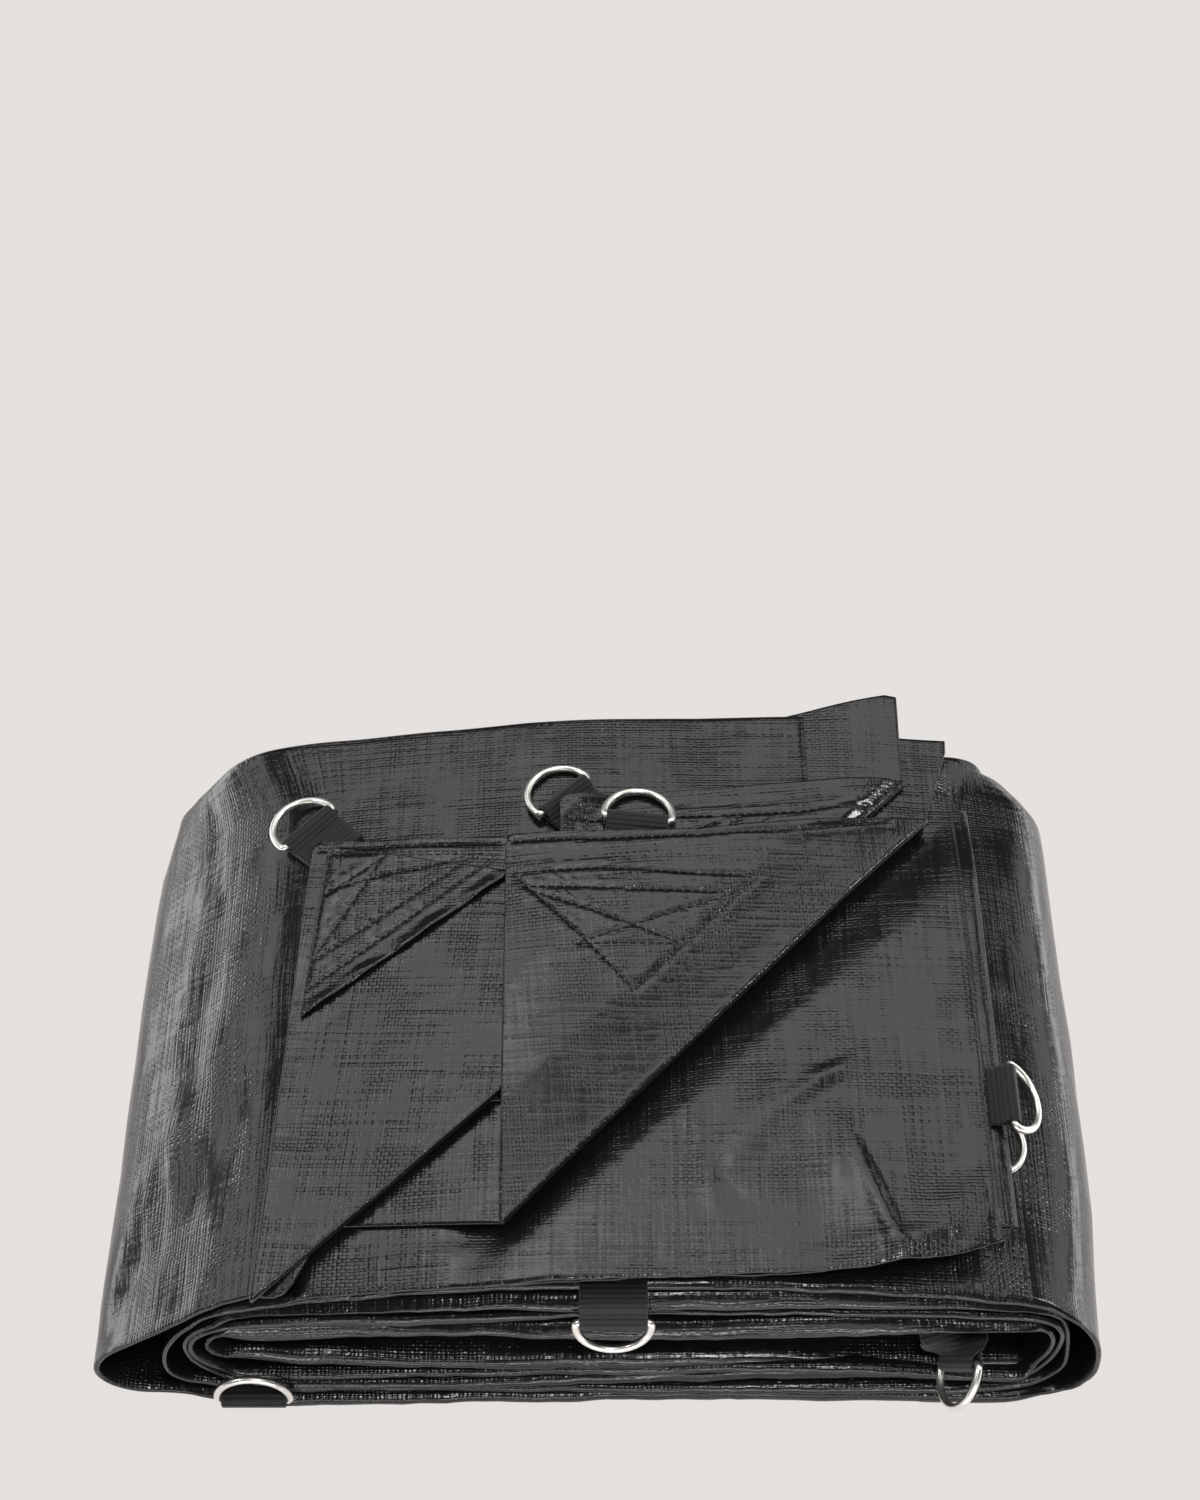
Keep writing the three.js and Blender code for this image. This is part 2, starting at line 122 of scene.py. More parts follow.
def narrowed(x, y, z):
    """The roll narrows towards its back corners, and its left side leans out at the top there."""
    left = 0.25 * np.clip((y + 60) / 190, 0, 1) + 0.9 * smooth(95, 140, y)
    right = 13 * smooth(112, 138, y) + 4 * smooth(-60, -135, y)
    moved = x + left * np.minimum(6, 17 - 0.42 * z) * smooth(-92, -150, x)
    return moved - right * smooth(160, 190, x)


def settled(rows):
    """Points given as x and flat height, with their other columns kept."""
    return [(x, h + float(drop(x, h)), *rest) for x, h, *rest in rows]


# Meshes

def link(thing):
    bpy.context.scene.collection.objects.link(thing)


def make(name, points, faces, flat, material, slot, replaces):
    """A piece of the part from points in millimetres. flat holds each point's place on the flat cloth."""
    mesh = bpy.data.meshes.new(name)
    points = np.asarray(points, float)
    mesh.from_pydata((points * MM).tolist(), [], faces)
    a, b, c = (points[[f[k] for f in faces]] for k in range(3))
    turned = np.einsum("ij,ij->", a, np.cross(b, c)) < 0
    if turned:
        mesh.flip_normals()
    attribute = mesh.attributes.new("flat", "FLOAT_VECTOR", "POINT")
    attribute.data.foreach_set("vector", np.asarray(flat, np.float32).ravel())
    mesh.shade_smooth()
    mesh.materials.append(material)
    piece = bpy.data.objects.new(name, mesh)
    link(piece)
    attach(piece, "root")
    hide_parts(*replaces)
    return piece


def grid_faces(rows, columns, offset=0):
    i, j = np.meshgrid(np.arange(rows - 1), np.arange(columns - 1), indexing="ij")
    a = (i * columns + j).ravel() + offset
    return np.column_stack([a, a + columns, a + columns + 1, a + 1]).tolist()


def sheet_mesh(grid, thickness, flat):
    """A closed sheet with a rounded rim round a grid of mid-surface points: points, faces, flat places."""
    rows, columns = grid.shape[:2]
    normal = np.cross(np.gradient(grid, axis=0), np.gradient(grid, axis=1))
    normal /= np.linalg.norm(normal, axis=2)[..., None]
    half = thickness / 2
    upper, lower = grid + normal * half, grid - normal * half
    count = rows * columns
    index = np.arange(count).reshape(rows, columns)
    ring = np.concatenate([index[0, :-1], index[:-1, -1], index[-1, :0:-1], index[:0:-1, 0]])
    outward = np.zeros_like(grid)
    outward[0] += grid[0] - grid[1]
    outward[-1] += grid[-1] - grid[-2]
    outward[:, 0] += grid[:, 0] - grid[:, 1]
    outward[:, -1] += grid[:, -1] - grid[:, -2]
    outward = outward.reshape(-1, 3)[ring]
    outward /= np.linalg.norm(outward, axis=1)[:, None] + TINY
    rim = grid.reshape(-1, 3)[ring] + outward * half
    points = np.concatenate([upper.reshape(-1, 3), lower.reshape(-1, 3), rim])
    faces = grid_faces(rows, columns)
    faces += [f[::-1] for f in grid_faces(rows, columns, count)]
    n = len(ring)
    for k in range(n):
        a, b = int(ring[k]), int(ring[(k + 1) % n])
        r, s = 2 * count + k, 2 * count + (k + 1) % n
        faces.append([a, b, s, r])
        faces.append([r, s, b + count, a + count])
    places = flat.reshape(-1, flat.shape[-1])
    return points, faces, np.concatenate([places, places, places[ring]])


# Folded plies: a strip of cloth that runs left and right, each row of it a closed loop from front to back

# Where a row has points, as shares of the way to the back, and the angles round its nose and its back edge.
DEPTHS = np.array([2.5, 6, 11, 17, 25, 38, 58, 84, 112, 140, 168, 196, 220, 238, 250, 258, 263]) / 265
NOSE = np.radians([62, 40, 20, 0, -20, -40, -58, -74, -86])
TAIL = np.radians([-70, -40, -10, 10, 40, 70])
NOSE_MOST = 1.6
TAIL_DEEP = 2.5
# The front edge wanders: how far, over what length, and the seed.
FRONT_WAVES = ((0.8, 17, 51), (0.35, 5.3, 52))


def ply_mesh(rows, lengths, surface, depths=DEPTHS):
    """A closed mesh of folded plies.

    rows has columns x, z, nose thickness, front, back, lean, body thickness and shift. surface(x, y, u) gives
    how far the cloth's middle is pushed along its normal.
    """
    x, z, nose_t, front, back, lean, body_t, shift = rows.T
    for reach, length, seed in FRONT_WAVES:
        front = front + reach * noise(lengths / length, 0.5, seed)
    tangent = np.gradient(rows[:, :2], axis=0)
    tangent /= np.linalg.norm(tangent, axis=1)[:, None]
    normal = np.column_stack([-tangent[:, 1], tangent[:, 0]])
    radius = np.minimum(nose_t / 2, NOSE_MOST)
    top_back = np.abs(lean) * (1 + np.sign(lean)) / 2
    low_back = np.abs(lean) * (1 - np.sign(lean)) / 2

    def chain(setback, side):
        start = front + setback + radius
        y = start[:, None] + (back - TAIL_DEEP - start)[:, None] * depths[None, :]
        body = smooth(4, 34, y - front[:, None])
        half = mix(nose_t[:, None], body_t[:, None], body) / 2
        return y, side * half + shift[:, None] * body

    upper_y, upper_n = chain(top_back, 1)
    lower_y, lower_n = chain(low_back, -1)
    s = np.sin(NOSE)[None, :]
    up = (s * np.sign(lean + TINY)[:, None] + 1) / 2
    nose_y = front[:, None] + np.abs(lean)[:, None] * up + radius[:, None] * (1 - np.cos(NOSE)[None, :])
    nose_n = s * nose_t[:, None] / 2
    tail_s = np.sin(TAIL)[None, :]
    tail_y = back[:, None] - TAIL_DEEP * (1 - np.cos(TAIL)[None, :])
    tail_n = tail_s * body_t[:, None] / 2 + shift[:, None]
    y = np.concatenate([upper_y[:, ::-1], nose_y, lower_y, tail_y], axis=1)
    n = np.concatenate([upper_n[:, ::-1], nose_n, lower_n, tail_n], axis=1)
    v = fold_places(y, n, front, len(depths))
    u = np.broadcast_to(lengths[:, None], y.shape)
    px = narrowed(np.broadcast_to(x[:, None], y.shape), y, z[:, None])
    push = n + surface(px, y, u)
    points = np.stack([px + normal[:, :1] * push, y, z[:, None] + normal[:, 1:] * push], axis=2)
    count = y.shape[1]
    k = np.arange(count)
    i = np.arange(len(rows) - 1)
    a = (i[:, None] * count + k[None, :]).ravel()
    b = (i[:, None] * count + ((k + 1) % count)[None, :]).ravel()
    faces = np.column_stack([a, b, b + count, a + count]).tolist()
    last = (len(rows) - 1) * count
    faces.append(list(range(count))[::-1])
    faces.append(list(range(last, last + count)))
    flat = np.stack([u, v, np.zeros_like(u)], axis=2)
    return points.reshape(-1, 3), faces, flat.reshape(-1, 3)


def fold_places(y, n, front, deep):
    """Distance round each loop, both ways from the middle of its nose, so that the weave goes on round it."""
    step = np.hypot(np.diff(y, axis=1), np.diff(n, axis=1))
    length = np.concatenate([np.zeros((len(y), 1)), np.cumsum(step, axis=1)], axis=1)
    nose = length[:, deep + len(NOSE) // 2][:, None]
    back = length[:, -len(TAIL) // 2 - 1][:, None] - nose
    gone = np.abs(length - nose)
    return np.where(gone > back, 2 * back - gone, gone) + front[:, None]


# Where the bands' heights are given, how far out they are only as thick as their lips, and the foremost edge.
STATIONS = (-138, -61, 15, 95, 166)
BAND_END = 130
FOREMOST = -137

# The bands that show at the front of the roll, from the floor up: where the lip is, how far the upper edge
# lies behind it, and the lip's and the upper edge's heights at the five stations.
BANDS = {
    "b9": dict(front=-136, lean=0.6, low=(0.3, 0.3, 0.3, 0.5, 3), high=(5, 4.6, 5, 5.6, 7.4)),
    "b8": dict(front=-134.5, lean=1.8, low=(6.0, 5.6, 6.2, 7.4, 10), high=(9.3, 8.6, 9.6, 10.8, 13)),
    "b7": dict(front=-133.5, lean=1.9, low=(11.2, 10.2, 12.2, 13.8, 15.6),
               high=(14.6, 13.4, 16.6, 18.8, 18.4)),
    "b6": dict(front=-134, lean=1.4, low=(18.4, 17.6, 21, 24, 21), high=(21, 20.4, 24.4, 26.8, 23.6)),
    "b5": dict(front=-131.5, lean=2.6, low=(27.5, 22.8, 22.8, 24.6, 21.6), high=(31.6, 26.8, 28.6, 27, 24)),
    "b4": dict(front=-133, lean=5, low=(46.3, 50.6, 49.8, 54.4, 55.8), high=(53.6, 54.6, 55.5, 60.4, 58)),
    "b3": dict(front=-131, lean=1.6, low=(57.6, 58.4, 65.2, 64.4, 61.8), high=(59.8, 62.4, 66.8, 66.6, 64)),
    "b2": dict(front=-132.5, lean=5, low=(64, 73.2, 75, 74, 69), high=(66, 76.4, 80, 79, 71.4)),
    "b1": dict(front=-130, lean=2.4, low=(65.8, 79.6, 84.4, 82.8, 71.6),
               high=(68.6, 82.6, 87, 85.6, 74.4)),
}
ORDER = tuple(BANDS)
# The dark gap above b5 goes this much further up and down behind the lips.
GAP_MORE = 5

# Bends between bands, as x, height and thickness, in the order in which the cloth goes round.
LEFT_WALL = [(-116, 101.2, 1.6), (-131, 97.6, 2), (-146.5, 88, 2.2), (-163, 72, 2.4), (-180, 54, 2.4),
             (-193.5, 37, 2.4), (-197.5, 23, 2.6), (-195, 11.5, 2.6), (-185, 4, 2.6), (-168, 1.6, 2.8)]
BENDS = {
    "right wall": [(184.5, 4.6, 2.8), (192.5, 10, 2.6), (197, 21, 2.4), (196.5, 38, 2.4), (192, 53, 2.4),
                   (183.5, 65, 2.4)],
    "slack left": [(-147, 65.5, 2.2), (-157, 55.5, 2), (-164.5, 45, 2), (-169, 31, 2), (-168.5, 18, 2),
                   (-163, 11.5, 2.2), (-154, 8.6, 2.6)],
    "crumple right": [(180, 14, 2.2), (184.5, 24, 2), (184, 40, 2), (181, 55, 2), (175, 65, 2)],
    "left 2": [(-146, 59.5, 2.2), (-154, 52.5, 2.2), (-159.5, 43, 2.2), (-159.5, 33, 2.2), (-155, 23, 2.2),
               (-148, 15.5, 2.4)],
    "right 2": [(172, 22, 2.2), (178, 33, 2.2), (180, 44, 2.2), (178.5, 54, 2.2), (173.5, 60.5, 2.2)],
    "left 3": [(-148, 55.6, 2.2), (-154.5, 49.5, 2.2), (-157.5, 42.5, 2.2), (-156, 34.5, 2.2),
               (-151, 27.5, 2.2), (-145, 21.4, 2.2)],
    "right 3": [(170, 27, 2.2), (174.5, 36, 2.2), (176, 44, 2.2), (174.5, 51.5, 2.2), (170.5, 55.8, 2.4)],
    "left 4": [(-145, 48.6, 2.4), (-150, 44.5, 2.2), (-152, 39.6, 2.2), (-150, 34.4, 2.2), (-145, 30.4, 2.4)],
}
# The way round the bundle: bands to the right and to the left in turn, each with the bend that leads on.
ROUTE = (("b9", "right wall"), ("b1", "slack left"), ("b8", "crumple right"), ("b2", "left 2"),
         ("b7", "right 2"), ("b3", "left 3"), ("b6", "right 3"), ("b4", "left 4"), ("b5", None))
FRONTS = {"left wall": -130.5, "right wall": -132}
INNER_FRONT = -131.5

# The outer ply on the top, from its end under the back sheet to the left: x and thickness at one flat height.
# It starts a little behind the top corner's crease, and its back edge runs on a slope from its left end.
LAID_HEIGHT = 101.7
LAID = ((88, 1.2), (60, 1.2), (25, 1.2), (-15, 1.2), (-60, 1.3), (-100, 1.4))
LAID_BEHIND = 7
LAID_LEFT = -102
LAID_BACK = 130
LAID_BACK_SLOPE = 0.026

CREASE_TOP = ((-129.1, -135), (86, 63))
CREASE_LOW = ((-37.3, -107.5), (137.1, 82.3))


def roll_front(turn, x):
    """How far the front edge is behind its mean place, after some turns round the bundle."""
    return 1.1 * np.sin(turn * 2.6 + 0.8 + np.asarray(x) / 61)


def roll_back(turn, x):
    return 131 + 2.4 * np.sin(turn * 3.1 + 1 + np.asarray(x) / 77) + 3 * smooth(120, 190, np.abs(x))


def band_rows(name, turn, rightward):
    band = BANDS[name]
    k = ORDER.index(name)
    sign = 1 if rightward else -1
    rows = []
    for i, x in enumerate(STATIONS):
        low, high = band["low"][i], band["high"][i]
        floor = 0.2 if k == 0 else (BANDS[ORDER[k - 1]]["high"][i] + low) / 2 + 0.3
        roof = high + 0.6 if k == len(ORDER) - 1 else (BANDS[ORDER[k + 1]]["low"][i] + high) / 2 - 0.3
        if name == "b5":
            roof = max(roof - GAP_MORE, high)
        if name == "b4":
            floor = min(floor + GAP_MORE, low)
        if abs(x) > BAND_END:
            floor, roof = low, high
        middle = (low + high) / 2
        front = band["front"] + float(roll_front(turn, x))
        shift = sign * ((roof + floor) / 2 - middle)
        rows.append((x, middle, high - low, front, float(roll_back(turn, x)), sign * band["lean"],
                     roof - floor, shift))
    return rows if rightward else rows[::-1]


# A lean that counts as none, for plies that stand straight.
UPRIGHT = 0.01


def bend_rows(points, turn, front):
    return [(x, z, t, front + float(roll_front(turn, x)), float(roll_back(turn, x)), UPRIGHT, t, 0)
            for x, z, t in points]


def roll_rows():
    rows = []
    (x0, y0), (x1, y1) = CREASE_TOP
    for x, t in LAID:
        front = y0 + (x - x0) * (y1 - y0) / (x1 - x0) + LAID_BEHIND
        back = LAID_BACK + (x - LAID_LEFT) * LAID_BACK_SLOPE
        rows.append((x, LAID_HEIGHT + float(drop(x, LAID_HEIGHT)), t, front, back, UPRIGHT, t, 0))
    rows += bend_rows(settled(LEFT_WALL), 0, FRONTS["left wall"])
    for i, (band, bend) in enumerate(ROUTE):
        rows += band_rows(band, i / 2, i % 2 == 0)
        if bend:
            rows += bend_rows(BENDS[bend], i / 2 + 0.25, FRONTS.get(bend, INNER_FRONT))
    return rows


def settled_height(u):
    """How high the outer ply is above the floor at a length along the roll. The underside stays flat."""
    return np.interp(u, (0, 330, 345, 400, 700, 770), (80, 80, 1.5, 1.5, 1.5, 40))


# Soft folds of the outer ply at its left side, at a length gone along the roll and y.
SIDE_FOLDS = (
    dict(at=(262, -42), length=62, angle=-50, width=8, rise=-3.1),
    dict(at=(246, -60), length=52, angle=-53, width=7, rise=2.9),
    dict(at=(284, -92), length=34, angle=-62, width=5, rise=2.4),
    dict(at=(270, 28), length=46, angle=-76, width=5, rise=-1.8),
    dict(at=(236, -4), length=30, angle=-32, width=7, rise=1.8),
    dict(at=(218, 18), length=30, angle=-24, width=6, rise=-0.9),
    dict(at=(262, 96), length=30, angle=78, width=5, rise=1.1),
    dict(at=(240, -112), length=24, angle=-70, width=6, rise=-0.9),
)


def ridges(table, u, v):
    """The rise of a table's soft ridges at places u, v."""
    total = 0
    for ridge in table:
        t = math.radians(ridge["angle"])
        du, dv = u - ridge["at"][0], v - ridge["at"][1]
        along = (du * math.cos(t) + dv * math.sin(t)) / ridge["length"]
        across = (dv * math.cos(t) - du * math.sin(t)) / ridge["width"]
        total = total + ridge["rise"] * np.exp(-along**2 - across**2)
    return total


def roll_surface(x, y, u):
    """How far the roll's ply is pushed out: less on the inner turns, not at the front edge or underside."""
    outer = 1 - smooth(760, 800, u)
    soft = 0.75 * noise(u / 46, y / 62, 3) + 0.4 * noise(u / 15, y / 24, 4)
    soft = soft * mix(0.35, 1, outer) + ridges(SIDE_FOLDS, u, y)
    return soft * smooth(-2, 12, y - FOREMOST) * smooth(1.5, 14, settled_height(u))


# The folded plies on the roll, by their flat heights from the lowest up

STACK_HEIGHTS = (88.9, 92.4, 96)
STACK_PLY = 1.6
STACK_UNDER = 1.8
STACK_X = (-109, -90, -60, -10, 40, 80, 120, 140, 154)
STACK_TOP_X = STACK_X[:6]
# The upper ply's front right corner: x, rise above the ply and front edge.
STACK_CORNER = ((100, 0.3, -124.5), (114, 1, -122.6), (127, 1.2, -120.5), (139, 1.8, -117.5),
                (150.5, 1.9, -113.5))
STACK_DEPTHS = np.concatenate([[0.006, 0.016, 0.03], np.linspace(0.045, 0.955, 72), [0.975, 0.99, 0.998]])


def stack_front(x, ply):
    plain = -131 + 5 * smooth(-60, 100, x) - 0.4 * ply
    lower = -128 + 24 * smooth(60, 157, x)
    return float(plain if ply == 2 else np.maximum(plain + 2, lower))


def stack_back(x, ply):
    return float(112 - (8 if ply == 2 else 13) * smooth(60, 157, x))


def stack_rows():
    low, middle, top = STACK_HEIGHTS
    inside = ROLL_TOP - PLY / 2 + STACK_UNDER
    rows = []

    def add(x, h, ply, front=None):
        y0 = stack_front(x, ply) if front is None else front
        rows.append((x, h + float(drop(x, h)), STACK_PLY, y0, stack_back(x, ply), UPRIGHT, STACK_PLY, 0))

    for x in (-60, -90, -109):
        add(x, inside, 0)
    add(-113.3, (inside + low) / 2, 0)
    for x in STACK_X:
        add(x, low, 0)
    add(158.6, (low + middle) / 2, 1)
    for x in STACK_X[::-1]:
        add(x, middle, 1)
    add(-113.4, (middle + top) / 2, 2)
    for x in STACK_TOP_X:
        add(x, top, 2)
    for x, rise, front in STACK_CORNER:
        add(x, top + rise, 2, front)
    return rows


# Creases of the upper ply, by x and y. A crease with a negative rise is a furrow.
CREASES = (
    dict(at=(62, -62), length=34, angle=52, width=9, rise=1.6),
    dict(at=(96, -92), length=40, angle=-64, width=9, rise=1.8),
    dict(at=(134, -100), length=22, angle=35, width=9, rise=2.2),
    dict(at=(104, -98), length=26, angle=-70, width=2.6, rise=1.3),
    dict(at=(120, -113), length=14, angle=20, width=3, rise=1.5),
    dict(at=(143, -108), length=9, angle=60, width=3, rise=1.2),
    dict(at=(92, -118), length=13, angle=15, width=2.6, rise=-1.2),
    dict(at=(84, -47), length=19, angle=36, width=2.4, rise=1.6),
    dict(at=(90, -42), length=9, angle=10, width=2.2, rise=1.3),
    dict(at=(39, -76), length=24, angle=-80, width=2.2, rise=1.1),
    dict(at=(104, -94), length=30, angle=-73, width=2.0, rise=1.6),
    dict(at=(47, -88), length=12, angle=-60, width=2.2, rise=-0.8),
    dict(at=(76, -78), length=10, angle=-20, width=2.6, rise=0.8),
    dict(at=(-60, -118), length=40, angle=3, width=2.6, rise=0.7),
    dict(at=(20, -122), length=44, angle=-2, width=2.4, rise=-0.7),
)


def crease_axes(crease):
    """The first end of a crease, its direction, and the direction to its left in which its corner lies."""
    a, b = np.array(crease[0], float), np.array(crease[1], float)
    along = (b - a) / np.linalg.norm(b - a)
    return a, along, np.array([-along[1], along[0]])


def crease_length(crease):
    return np.linalg.norm(np.subtract(crease[1], crease[0]))


def beside(crease, x, y):
    """Distance to the right of a crease, and the share of the way along it."""
    a, along, _ = crease_axes(crease)
    right = (x - a[0]) * along[1] - (y - a[1]) * along[0]
    return right, ((x - a[0]) * along[0] + (y - a[1]) * along[1]) / crease_length(crease)


def stack_surface(x, y, u):
    """Only the upper ply, the last length of the strip, is creased."""
    return smooth(600, 640, u) * (ridges(CREASES, x, y) + 0.2 * noise(x / 23, y / 31, 11))


def dented(points, low, high):
    """Points of the cloth go down beside the lower turned-back corner, from none at low to all at high."""
    x, y, z = points.T
    away, share = beside(CREASE_LOW, x, y)
    width = mix(12, 34, np.clip(share, 0, 1))
    dip = mix(4.2, 6.2, share) * smooth(-22, -6, away) * (1 - smooth(0, 1, away / width))
    dip = dip * smooth(-0.12, 0.02, share) * smooth(low, high, z)
    return np.column_stack([x, y, z - dip])


# Loose sheets with a turned-back corner

# Each one's crease, the rest of its lying outline, its turned corner with that part's other points, the flat
# height of the lying part, and the turned part's by the share of the way from the crease to the corner.
LOOSE = {
    "low": dict(crease=CREASE_LOW, base=((151, 127), (-106, 126), (-106, -104)),
                edge=((41.3, 66),), corner=(-38.4, 64.4), height=98.1,
                profile=((0.008, 100.5), (0.08, 102.2), (0.16, 104.4), (0.27, 107.8), (0.4, 110),
                         (0.55, 111.3), (0.78, 111.3), (1, 111.3))),
    "middle": dict(crease=((-13, -57), (128.6, 100.1)), base=((128.6, 146), (-95, 95), (-95, -52)),
                   corner=(-16.7, 85.3), height=99.9,
                   profile=((0.01, 102.3), (0.05, 104.4), (0.1, 105.3), (0.35, 105.3), (0.6, 105.3),
                            (0.84, 105.5), (0.93, 109.3), (1, 109.3))),
    "top": dict(crease=CREASE_TOP, base=((88, 135), (-102, 130)), corner=(-120, 71.5), height=101.7,
                profile=((0.006, 103.5), (0.12, 103.5), (0.3, 103.5), (0.5, 103.5), (0.66, 104.8),
                         (0.8, 106.5), (0.9, 106.5), (1, 106.5))),
}
LOOSE_PLY = 1.2
# The outermost rows keep clear of the crease's own bend and of an outline's point.
NEAR_CREASE = 0.6
BASE_END = 0.992
CORNER_END = 0.99
CREASE_BEND = np.radians([-75, -45, -15, 15, 45, 75])


def slices(outline, crease, depths, columns):
    """Rows of a convex outline cut by lines parallel to a crease, at depths in millimetres behind it."""
    a, along, away = crease_axes(crease)
    local = [((np.array(p, float) - a) @ along, (np.array(p, float) - a) @ away) for p in outline]
    rows = []
    for d in depths:
        hits = []
        for (s0, d0), (s1, d1) in zip(local, local[1:] + local[:1]):
            if abs(d1 - d0) < CLOSE:
                if abs(d0 - d) < CLOSE:
                    hits += [s0, s1]
                continue
            t = (d - d0) / (d1 - d0)
            if -TINY <= t <= 1 + TINY:
                hits.append(mix(s0, s1, t))
        s = np.linspace(min(hits), max(hits), columns)
        rows.append(a + along * s[:, None] + away * d)
    return np.array(rows)


def deepest(outline, crease):
    a, _, away = crease_axes(crease)
    return max((np.array(p, float) - a) @ away for p in outline)


def turned_grid(spec, step, base_step, base_depth, lift):
    """The mid-surface grid and flat places of a sheet whose corner is folded over along its crease.

    Where base_depth is given, only that much of the lying part is made. lift(x, y, kind) raises the sheet:
    kind is 0 on the lying part, 1 on the turned one and a half between them.
    """
    crease, height = spec["crease"], spec["height"]
    away = crease_axes(crease)[2]
    base_outline = (*crease, *spec["base"])
    turned_outline = (*crease, *spec.get("edge", ()), spec["corner"])
    fractions, heights = np.array(spec["profile"]).T
    far = base_depth or deepest(base_outline, crease) * BASE_END
    reach = deepest((spec["corner"],), crease)
    columns = int(crease_length(crease) / step)
    base_depths = np.linspace(far, NEAR_CREASE, max(3, int(far / base_step)))
    depths = np.linspace(NEAR_CREASE, reach * CORNER_END, int(reach / step))
    base = slices(base_outline, crease, base_depths, columns)
    turned = slices(turned_outline, crease, depths, columns)
    line = slices(turned_outline, crease, [0], columns)[0]
    radius = (heights[0] - height) / 2
    rows = [(row, height, row, 0) for row in base]
    for angle in CREASE_BEND:
        rows.append((line - away * radius * math.cos(angle), height + radius + radius * math.sin(angle),
                     line - away * radius * (angle + math.pi / 2), 0.5))
    for row, d in zip(turned, depths):
        unrolled = row - away * (2 * d + radius * math.pi)
        rows.append((row, np.interp(d / reach, fractions, heights), unrolled, 1))
    places, z, flat, kind = (np.array(column) for column in zip(*rows))
    x, y = places[..., 0], places[..., 1]
    kind = np.broadcast_to(kind[:, None], x.shape)
    z = z[:, None] + lift(x, y, kind)
    return np.stack([x, y, z + drop(x, z)], axis=2), np.dstack([flat, kind])


def corner_height(spec, x, y):
    """The flat-form height of a turned-back corner's middle surface."""
    crease = spec["crease"]
    a, along, _ = crease_axes(crease)
    depth = (y - a[1]) * along[0] - (x - a[0]) * along[1]
    fractions, heights = np.array(spec["profile"]).T
    return np.interp(depth / deepest((spec["corner"],), crease), fractions, heights)


# Materials

def nodes_of(name):
    material = bpy.data.materials.new(name)
    material.use_nodes = True
    tree = material.node_tree
    return material, tree, tree.nodes["Principled BSDF"]


class Graph:
    """Short calls for building a node tree. A value is a number or another node's output."""

    def __init__(self, tree):
        self.tree = tree

    def node(self, kind, **settings):
        made = self.tree.nodes.new(kind)
        for key, value in settings.items():
            setattr(made, key, value)
        return made

    def feed(self, node, index, value):
        if hasattr(value, "is_linked"):
            self.tree.links.new(value, node.inputs[index])
        else:
            node.inputs[index].default_value = value

    def flat_place(self):
        return self.node("ShaderNodeAttribute", attribute_name="flat").outputs["Vector"]

    def split(self, vector):
        made = self.node("ShaderNodeSeparateXYZ")
        self.feed(made, 0, vector)
        return made.outputs[0], made.outputs[1]

    def math(self, operation, a, b=None):
        made = self.node("ShaderNodeMath", operation=operation)
        self.feed(made, 0, a)
        if b is not None:
            self.feed(made, 1, b)
        return made.outputs[0]

    def sum(self, *values):
        total = values[-1]
        for value in values[-2::-1]:
            total = self.math("ADD", value, total)
        return total

    def times(self, a, b):
        return self.math("MULTIPLY", a, b)

    def noise(self, vector, scale, detail=2.0, rough=0.5):
        made = self.node("ShaderNodeTexNoise")
        self.feed(made, "Vector", vector)
        self.feed(made, "Scale", scale)
        self.feed(made, "Detail", detail)
        self.feed(made, "Roughness", rough)
        return made.outputs["Fac"]

    def range(self, value, a, b, c, d):
        """The value's range from a to b, eased to c to d."""
        made = self.node("ShaderNodeMapRange", interpolation_type="SMOOTHSTEP")
        for index, v in enumerate((value, a, b, c, d)):
            self.feed(made, index, v)
        return made.outputs[0]

    def scaled(self, vector, x, y):
        made = self.node("ShaderNodeVectorMath", operation="MULTIPLY")
        self.feed(made, 0, vector)
        made.inputs[1].default_value = (x, y, 1.0)
        return made.outputs[0]

    def blend(self, factor, first, second):
        made = self.node("ShaderNodeMix", data_type="RGBA")
        self.feed(made, 0, factor)
        made.inputs[6].default_value = (*first, 1)
        made.inputs[7].default_value = (*second, 1)
        return made.outputs[2]

    def bump(self, height, distance, strength=1.0, under=None):
        made = self.node("ShaderNodeBump")
        self.feed(made, "Strength", strength)
        self.feed(made, "Distance", distance)
        self.feed(made, "Height", height)
        if under is not None:
            self.feed(made, "Normal", under)
        return made.outputs[0]


# Widths of the woven tapes that run along and across the strip.
WARP = 1.72
WEFT = 1.44


